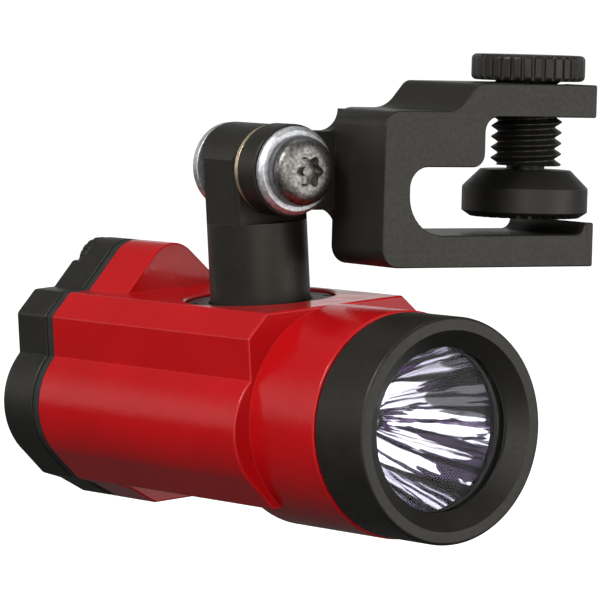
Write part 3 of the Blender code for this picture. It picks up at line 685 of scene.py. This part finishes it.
def thread(low, high, steps=72, per_pitch=18):
    """A right-hand V thread with narrow flat crests and roots."""
    rows = round((high - low) / THREAD_PITCH * per_pitch)
    sections = []
    for row in range(rows + 1):
        height = low + (high - low) * row / rows
        section = []
        for step in range(steps):
            phase = (height / THREAD_PITCH - step / steps) % 1.0
            slope = min(max(abs(2 * phase - 1) * 1.25 - 0.12, 0), 1)
            radius = THREAD_R - THREAD_DEPTH * slope
            angle = 2 * pi * step / steps
            section.append((radius * cos(angle), radius * sin(angle), height))
        sections.append(section)
    return loft(sections)


def thumb_screw():
    grip = toothed(KNOB_R, KNOB_TEETH, 0.00035)
    knob = knurled(grip, KNOB_BASE, KNOB_TOP, 0.0007)
    tip_r, groove_r = PAD_BORE_R - GAP, 0.0022
    tip = lathe([
        (0, THREAD_END + 0.0005), (tip_r, THREAD_END + 0.0005), (tip_r, CLIP_Z + 0.0008),
        (groove_r, CLIP_Z + 0.0007), (groove_r, CLIP_Z - 0.0007), (tip_r, CLIP_Z - 0.0008),
        (tip_r, TIP_Z + 0.0005), (tip_r - 0.0005, TIP_Z), (0, TIP_Z),
    ], 48)
    mesh = carve(knob, [thread(THREAD_END, KNOB_BASE + 0.0004), tip])
    piece("clamp_thumb_screw", mesh, WORLD, "screw", "black_anodise", "thumb_screw", sharp=25)


def clamp_pad():
    groove = 0.0007
    profile = fillet([
        (0, PAD_BASE, 0), (PAD_R - 0.0012, PAD_BASE, 0.0002), (PAD_R, PAD_BASE + 0.0008, 0.0002),
        (PAD_R, PAD_SHOULDER, 0.0003), (PAD_TOP_R, PAD_TOP, 0.0003), (PAD_BORE_R, PAD_TOP, 0.0002),
        (PAD_BORE_R, CLIP_Z + groove, 0), (PAD_BORE_R + 0.001, CLIP_Z + groove, 0),
        (PAD_BORE_R + 0.001, CLIP_Z - groove, 0), (PAD_BORE_R, CLIP_Z - groove, 0),
        (PAD_BORE_R, TIP_Z - 0.0005, 0), (0, TIP_Z - 0.0005, 0),
    ], 4)
    teeth = 30
    notches = []
    for tooth in range(teeth):
        notch = block((PAD_R - 0.0022, -0.0003, PAD_BASE - 0.001), (PAD_R + 0.001, 0.0003, PAD_BASE + 0.0005))
        notches.append(moved(notch, Matrix.Rotation(2 * pi * tooth / teeth, 4, "Z")))
    mesh = carve(lathe(profile, 120), cuts=notches)
    piece("pressure_pad", mesh, WORLD, "pad", "black_anodise", "clamp_pad")


# --- pivot stack --------------------------------------------------------------------------------
def driver_recess(radius, floor_at, top, steps=72):
    """Six-lobed recess with a security pin left standing in it."""
    lobes = []
    for i in range(steps):
        angle = 2 * pi * i / steps
        reach = radius * (0.87 + 0.13 * cos(6 * angle))
        lobes.append((reach * cos(angle), reach * sin(angle)))
    return carve(prism(lobes, floor_at, top), cuts=[drum(PIN_R, floor_at - 0.001, top - 0.0017, steps=32)])


def pivot_screw():
    crown, dome_steps = 0.0024, 10
    dome = []
    for i in range(dome_steps + 1):
        angle = (pi / 2) * i / dome_steps
        reach = crown + (HEAD_R - crown) * cos(angle)
        dome.append((reach, HEAD_RIM + (HEAD_TOP - HEAD_RIM) * sin(angle)))
    body = lathe([
        (0, SCREW_TIP), (PIVOT_R - 0.0004, SCREW_TIP), (PIVOT_R, SCREW_TIP + 0.0004),
        (PIVOT_R, HEAD_SEAT), (HEAD_R - 0.0002, HEAD_SEAT), (HEAD_R, HEAD_SEAT + 0.0002), *dome,
        (0, HEAD_TOP),
    ])
    mesh = carve(body, cuts=[driver_recess(RECESS_R, HEAD_TOP - RECESS_DEPTH, HEAD_TOP + 0.001)])
    piece("pivot_head_screw", mesh, PIVOT, "clamp", "stainless", "pivot_screw")


def washers():
    low, high = FRONT_WASHER
    front = lathe(fillet([
        (PIVOT_BORE_R, low, 0), (WASHER_R, low, 0.0001), (WASHER_R, low + 0.0006, 0.0002),
        (WASHER_FACE_R, high, 0.0002), (PIVOT_BORE_R, high, 0),
    ], 4))
    piece("pivot_front_washer", front, PIVOT, "clamp", "zinc_plate", "front_washer")
    piece("pivot_lock_washer", ring(PIVOT_BORE_R, LOCK_WASHER_R, *LOCK_WASHER, edge=0.0001), PIVOT, "clamp",
          "black_plastic", "lock_washer")
    piece("pivot_thrust_washer", ring(PIVOT_BORE_R, THRUST_R, *THRUST_WASHER, edge=0.0001), PIVOT, "clamp",
          "brass", "thrust_washer")
    low, high = REAR_WASHER
    rear = lathe(fillet([
        (PIVOT_BORE_R, high, 0), (WASHER_R, high, 0.0001), (WASHER_R, low + 0.0007, 0.0001),
        (WASHER_R - 0.0004, low + 0.0005, 0.0001), (WASHER_R - 0.0004, low, 0.0001), (PIVOT_BORE_R, low, 0),
    ], 3))
    piece("pivot_rear_washer", rear, PIVOT, "clamp", "zinc_plate", "rear_washer")
    flats = [(x, y, 0.0004) for x, y in arc_points((0, 0), NUT_R, 30, 330, 5)]
    body = prism(fillet(flats, 3), *NUT, 0.0002, 0.0002)
    nut = carve(body, cuts=[drum(PIVOT_BORE_R, NUT[0] - 0.001, NUT[1] + 0.001, steps=48)])
    piece("pivot_hex_nut", nut, PIVOT, "clamp", "zinc_plate", "pivot_nut")


# --- post ---------------------------------------------------------------------------------------
def post():
    top = HINGE_HEIGHT + EAR_ROUND_R + 0.0005
    seal_low, seal_high = FLANGE[0] + 0.0003, FLANGE[1] - 0.0003
    stem = lathe([
        (0, FLANGE[0]), (FLANGE_R, FLANGE[0]), (FLANGE_R, seal_low), (FLANGE_GROOVE_R, seal_low),
        (FLANGE_GROOVE_R, seal_high), (FLANGE_R, seal_high), (FLANGE_R, FLANGE[1]), (POST_R, FLANGE[1]),
        (POST_R, top), (0, top),
    ], 128)
    far = 0.012
    over = top + 0.001
    front, rear = -EAR[1], -EAR[0]
    cuts = [
        block((-far, -far, LEDGE), (far, front, over)),
        block((-far, rear, LEDGE), (far, far, over)),
        block((-far, -far, LEDGE), (-EAR_HALF, far, over)),
        block((EAR_HALF, -far, LEDGE), (far, far, over)),
    ]
    crown = [point for point in arc_points((0, 0), EAR_ROUND_R, 0, 180, 48) if point[1] > EAR_STRAIGHT]
    arch = [(far, EAR_STRAIGHT), (far, far), (-far, far), (-far, EAR_STRAIGHT)] + list(reversed(crown))
    cuts.append(moved(prism(arch, -far, far), EAR_IN_POST))
    cuts.append(moved(drum(PIVOT_BORE_R, -far, far, steps=48), EAR_IN_POST))
    piece("swivel_post", carve(stem, cuts=cuts), POST, "post", "black_anodise", "post", bevel=0.00015)


def post_ring():
    body = lathe(fillet([
        (POST_R + GAP, RING[0], 0), (RING_R, RING[0], 0.0002), (RING_R, RING[1], 0.0003),
        (POST_R + GAP, RING[1], 0.0003),
    ], 4), 128)
    slots = []
    for angle in SPANNER_SLOTS:
        slot = block((0.0088, -0.0007, RING[1] - 0.0012), (0.0120, 0.0007, RING[1] + 0.001))
        slots.append(moved(slot, Matrix.Rotation(radians(angle), 4, "Z")))
    piece("deck_ring", carve(body, cuts=slots), LIGHT, "light", "black_anodise", "post_ring")


# --- light body ---------------------------------------------------------------------------------
def lobe_half():
    """Right-hand side from the flank down round a cell lobe to the underside."""
    cx, cy, radius = LOBE
    first = degrees(asin((LOBE_TOP_Y - cy) / radius))
    lobe = arc_points((cx, cy), radius, first - 2, -38.5, 24)
    return [(SIDE, LOBE_TOP_Y, 0)] + [(x, y, 0) for x, y in lobe]


def both_sides(half):
    """Close a right-hand half of (x, y, radius) corners with its mirror image."""
    return fillet(list(half) + [(-x, y, r) for x, y, r in reversed(half) if abs(x) > 1e-9], 4)


def mid_section():
    upper = [(DECK_HALF, DECK, 0.0005), (SIDE, SIDE_TOP, 0.0005)]
    return both_sides(upper + lobe_half() + [(UNDER_CORNER_X, UNDERSIDE, 0.0008)])


def tail_section(crown_cut=None, softer=0.0):
    """Section with the crown over the latch screw and the keel below; optionally cut flat."""
    centre, radius = HUMP
    foot = radius * sqrt(0.5)
    base_x = foot + (centre + foot - DECK)
    crown = [(x, y, 0) for x, y in arc_points((0, centre), radius, 90, 45, 12)]
    if crown_cut is not None:
        crown = [(base_x - (crown_cut - DECK), crown_cut, 0.0004 + softer)]
    keel_x, keel_y, bilge_x, bilge_y = KEEL
    shoulder = 0.0005 + softer
    half = crown + [(base_x, DECK, 0.0003), (DECK_HALF, DECK, shoulder), (SIDE, SIDE_TOP, shoulder)]
    half += lobe_half() + [(UNDER_CORNER_X, UNDERSIDE, 0.0003), (bilge_x, bilge_y, 0.0004 + softer)]
    return both_sides(half + [(keel_x, keel_y, 0.0008)])


def cell_bores(radius, low, high, steps=72):
    x, y = CELL
    return [drum(radius, low, high, (sign * x, y), steps) for sign in (1, -1)]


def light_housing():
    body = prism(mid_section(), HUMP_FRONT - 0.0006, BODY_FRONT, 0, 0.0003)
    tail = prism(tail_section(), BODY_REAR, HUMP_FRONT, 0.0002, 0.0003)
    nose = lathe(fillet([
        (0, NOSE_START, 0), (NOSE_R, NOSE_START, 0), (NOSE_R, NOSE_END, 0.0003), (0, NOSE_END, 0),
    ], 4), 160)
    over = NOSE_END + 0.002
    socket = countersunk(SOCKET_R, SOCKET_FLOOR, DECK, DECK + 0.002, 0.00025, steps=128)
    cuts = cell_bores(CHAMBER_R, BODY_REAR - 0.002, CHAMBER_END) + [
        drum(0.0095, 0.0112, over), drum(NOSE_BORE_R, BODY_FRONT + 0.0004, over),
        drum(BEZEL_BORE_R, 0.0264, over, steps=160),
        drum(0.0032, BODY_REAR - 0.002, HUMP_FRONT - 0.0012, (0, LATCH_Y), 32),
        drum(0.0016, 0, 0.015, (0.0052, BUTTON_Y), 24), drum(0.0016, 0, 0.015, (-0.0052, BUTTON_Y), 24),
        moved(socket, PAN_IN_BEAM),
    ]
    piece("lamp_body", carve(body, [tail, nose], cuts), BEAM, "light", "red_enamel", "light_housing")


def bezel():
    neck_r, seat = BEZEL_BORE_R - GAP, LENS[1] + 0.0002
    inner = 0.0127
    mesh = lathe(fillet([
        (OPENING_R, seat, 0), (OPENING_R, 0.0395, 0.0001), (BEZEL_FACE_R, BEZEL_END, 0.00012),
        (BEZEL_R, BEZEL_END, 0.0005), (BEZEL_R, NOSE_END + GAP, 0.0002), (neck_r, NOSE_END + GAP, 0),
        (neck_r, 0.0292, 0), (0.0134, 0.0292, 0), (0.0134, 0.0276, 0), (neck_r, 0.0276, 0),
        (neck_r, 0.0270, 0), (inner, 0.0270, 0), (inner, 0.0335, 0), (LENS[2] + GAP, 0.0340, 0),
        (LENS[2] + GAP, seat, 0),
    ], 5), 192)
    piece("front_bezel", mesh, BEAM, "light", "black_anodise", "bezel_ring")


def optics():
    low, high, radius = LENS
    piece("front_lens", drum(radius, low, high, steps=160, edge=0.0003), BEAM, "light", "glass", "lens")
    rows = 40
    low, high = MIRROR
    focal = (MOUTH_R ** 2 - THROAT_R ** 2) / (high - low)
    vertex = low - THROAT_R ** 2 / focal
    bowl = []
    for i in range(rows + 1):
        forward = low + (high - low) * (i / rows) ** 1.6
        bowl.append((sqrt(focal * (forward - vertex)), forward))
    outer = [(r + MIRROR_WALL, f) for r, f in reversed(bowl[:-1])]
    flange = [(MIRROR_FLANGE_R, high), (MIRROR_FLANGE_R, high - MIRROR_WALL)]
    mesh = lathe(bowl + flange + outer, 160)
    piece("mirror_bowl", mesh, BEAM, "light", "mirror_coat", "reflector")


# --- tail ---------------------------------------------------------------------------------------
def tail():
    x, y = CELL
    over = CAP_REAR - 0.002
    low, high = GASKET
    cuts = cell_bores(CHAMBER_R, low - 0.001, high + 0.001)
    cuts.append(drum(0.0020, low - 0.001, high + 0.001, (0, LATCH_Y), 32))
    gasket = carve(prism(tail_section(), low, high, 0.0003, 0.0003), cuts=cuts)
    piece("seal_plate", gasket, BEAM, "tail", "rubber", "tail_gasket")

    cap = prism(tail_section(softer=0.0003), CAP_STEP[0], CAP_FRONT, 0.0004, 0.0003)
    back = prism(tail_section(CAP_STEP[1], 0.0003), CAP_REAR, CAP_STEP[0] + 0.001, 0.0006, 0)
    recess, front = -0.0359, CAP_FRONT + 0.001
    cuts = cell_bores(0.0076, recess, front) + [
        block((-x, y - 0.0076, recess), (x, y + 0.0076, front)),
        drum(0.0036, over, CAP_FRONT, (0, BUTTON_Y), 48),
        drum(BUTTON_BORE_R, over, -0.0373, (0, BUTTON_Y)),
        drum(0.0019, over, front, (0, LATCH_Y), 32),
        drum(0.0041, over, CAP_STEP[0] - 0.0001, (0, LATCH_Y), 64),
    ]
    piece("battery_cap", carve(cap, [back], cuts), BEAM, "tail", "black_anodise", "tail_cap")

    piece("cap_button_ring", ring(0.0047, 0.0064, -0.0396, -0.0391, (0, BUTTON_Y), edge=0.0001), BEAM,
          "tail", "aluminium", "button_ring")


def latch():
    """The captive screw, drawn with a blackened head like the cap round it."""
    grip = toothed(LATCH_HEAD_R, 20, 0.0002)
    head = moved(knurled(grip, CAP_REAR - 0.0001, CAP_STEP[0] - 0.0004, 0.0004),
                 Matrix.Translation((0, LATCH_Y, 0)))
    shank = drum(LATCH_SHANK_R, CAP_STEP[0] - 0.001, LATCH_TIP, (0, LATCH_Y), 32, 0.0003)
    slot = block((-0.006, LATCH_Y - 0.0005, CAP_REAR - 0.002), (0.006, LATCH_Y + 0.0005, CAP_REAR + 0.0007))
    made = piece("cap_latch_screw", carve(head, [shank], [slot]), BEAM, "latch", "stainless", "latch_screw")
    made.data.materials[0] = LOOKS["black_anodise"]


def power_button():
    base, flange, foot, top = BUTTON_LEVELS
    dome_steps = 12
    dome = []
    for i in range(dome_steps):
        angle = pi / 2 * i / dome_steps
        dome.append((BUTTON_DOME_R * cos(angle), foot + (top - foot) * sin(angle)))
    mesh = lathe([
        (0, base), (BUTTON_FLANGE_R, base), (BUTTON_FLANGE_R, flange), (BUTTON_DOME_R, flange), *dome,
        (0, top),
    ], at=(0, BUTTON_Y))
    piece("tail_push_button", mesh, BEAM, "button", "rubber", "power_button")


def carried_over():
    """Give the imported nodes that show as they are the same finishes, by their slots."""
    finish_of = {part["node"]: part["material_slot"] for part in RECORD["subparts"]}
    for name, node in frame["nodes"].items():
        node.data.materials.clear()
        node.data.materials.append(LOOKS[finish_of[name]])


# --- studio -------------------------------------------------------------------------------------
AZIMUTH, ELEVATION, ROLL = radians(-36.778), radians(6.413), radians(-2.67)
DISTANCE = 0.63736
AIM = LIGHT @ Vector((0.006876, 0, 0.014303))
LENS_MM = 271.8
FLOOR_DROP = 0.035                   # the light hangs from its clamp, clear of the floor
FLOOR_R = 4.0


def camera():
    back = Vector((sin(AZIMUTH) * cos(ELEVATION), -cos(AZIMUTH) * cos(ELEVATION), sin(ELEVATION)))
    right = Vector((cos(AZIMUTH), sin(AZIMUTH), 0))
    up = back.cross(right)
    tilted_right = right * cos(ROLL) + up * sin(ROLL)
    tilted_up = up * cos(ROLL) - right * sin(ROLL)
    turn = LIGHT.to_3x3()
    eye = bpy.data.objects.new("camera", bpy.data.cameras.new("camera"))
    eye.data.lens = LENS_MM
    eye.data.sensor_width = 36
    eye.data.clip_start = 0.01
    bpy.context.scene.collection.objects.link(eye)
    view = basis(turn @ tilted_right, turn @ tilted_up, turn @ back, AIM + turn @ back * DISTANCE)
    eye.matrix_world = view
    bpy.context.scene.camera = eye
    return view.to_3x3()


def softbox(name, view, offset, size, power):
    """An area light placed in the camera's frame (right, up, towards the camera), aimed at the object."""
    data = bpy.data.lights.new(name, "AREA")
    data.shape = "RECTANGLE"
    data.size, data.size_y = size
    data.energy = power
    lamp = bpy.data.objects.new(name, data)
    bpy.context.scene.collection.objects.link(lamp)
    place = AIM + view @ Vector(offset)
    lamp.location = place
    lamp.rotation_euler = (AIM - place).to_track_quat("-Z", "Y").to_euler()


def studio():
    view = camera()
    softbox("key", view, (-0.50, 0.62, 0.60), (0.45, 0.35), 7.9)
    softbox("panel", view, (0.85, -0.05, 0.28), (0.60, 0.80), 3.4)
    softbox("top", view, (0.10, 0.95, -0.15), (0.60, 0.35), 0.7)
    softbox("front", view, (0.10, 0.05, 1.10), (0.35, 0.45), 1.0)
    softbox("beam", view, (0.30, 0.02, 0.66), (1.15, 0.80), 2.9)
    surroundings()
    floor_paper()


def surroundings():
    """White to the camera; what the object reflects is bright at eye level and dim above and below."""
    world = bpy.data.worlds.new("studio")
    bpy.context.scene.world = world
    bpy.context.scene.view_settings.view_transform = "Standard"
    world.use_nodes = True
    nodes, links = world.node_tree.nodes, world.node_tree.links
    seen = nodes["Background"]
    seen.inputs["Color"].default_value = (1, 1, 1, 1)
    seen.inputs["Strength"].default_value = 1.05
    reflected = nodes.new("ShaderNodeBackground")
    height = nodes.new("ShaderNodeSeparateXYZ")
    links.new(nodes.new("ShaderNodeTexCoord").outputs["Generated"], height.inputs[0])
    fade = nodes.new("ShaderNodeValToRGB")
    fade.color_ramp.elements[0].position, fade.color_ramp.elements[0].color = 0.45, (0.10, 0.10, 0.10, 1)
    fade.color_ramp.elements[1].position, fade.color_ramp.elements[1].color = 0.52, (1.0, 1.0, 1.0, 1)
    for position, strength in ((0.60, 1.0), (0.72, 0.22)):
        fade.color_ramp.elements.new(position).color = (strength, strength, strength, 1)
    halved = nodes.new("ShaderNodeMath")
    halved.operation = "MULTIPLY_ADD"
    halved.inputs[1].default_value = halved.inputs[2].default_value = 0.5
    links.new(height.outputs["Z"], halved.inputs[0])
    links.new(halved.outputs[0], fade.inputs["Fac"])
    links.new(fade.outputs["Color"], reflected.inputs["Strength"])
    mixed = nodes.new("ShaderNodeMixShader")
    links.new(nodes.new("ShaderNodeLightPath").outputs["Is Camera Ray"], mixed.inputs[0])
    links.new(reflected.outputs[0], mixed.inputs[1])
    links.new(seen.outputs[0], mixed.inputs[2])
    links.new(mixed.outputs[0], nodes["World Output"].inputs["Surface"])


def floor_paper():
    """A pale floor that only the camera sees."""
    lowest = min(CAD_BOX[0][2], CAD_BOX[1][2])
    work = bmesh.new()
    bmesh.ops.create_circle(work, cap_ends=True, radius=FLOOR_R, segments=96)
    floor_piece = bpy.data.objects.new("floor", finished(work, "floor"))
    floor_piece.location = (AIM.x, AIM.y, lowest - FLOOR_DROP)
    paper = Surface("floor_paper", specular=0.1)
    shade = paper.mix(paper.noise(0.5), (0.50, 0.50, 0.50), (0.52, 0.52, 0.52))
    paper.shader.inputs["Emission Color"].default_value = (1, 1, 1, 1)
    paper.shader.inputs["Emission Strength"].default_value = 0.95
    floor_piece.data.materials.append(paper.finish(shade, paper.remap(paper.noise(0.01), 0, 1, 0.85, 0.95)))
    floor_piece.visible_glossy = False
    floor_piece.visible_diffuse = False
    bpy.context.scene.collection.objects.link(floor_piece)


carried_over()
clamp_bracket()
thumb_screw()
clamp_pad()
pivot_screw()
washers()
post()
post_ring()
light_housing()
bezel()
optics()
tail()
latch()
power_button()
studio()
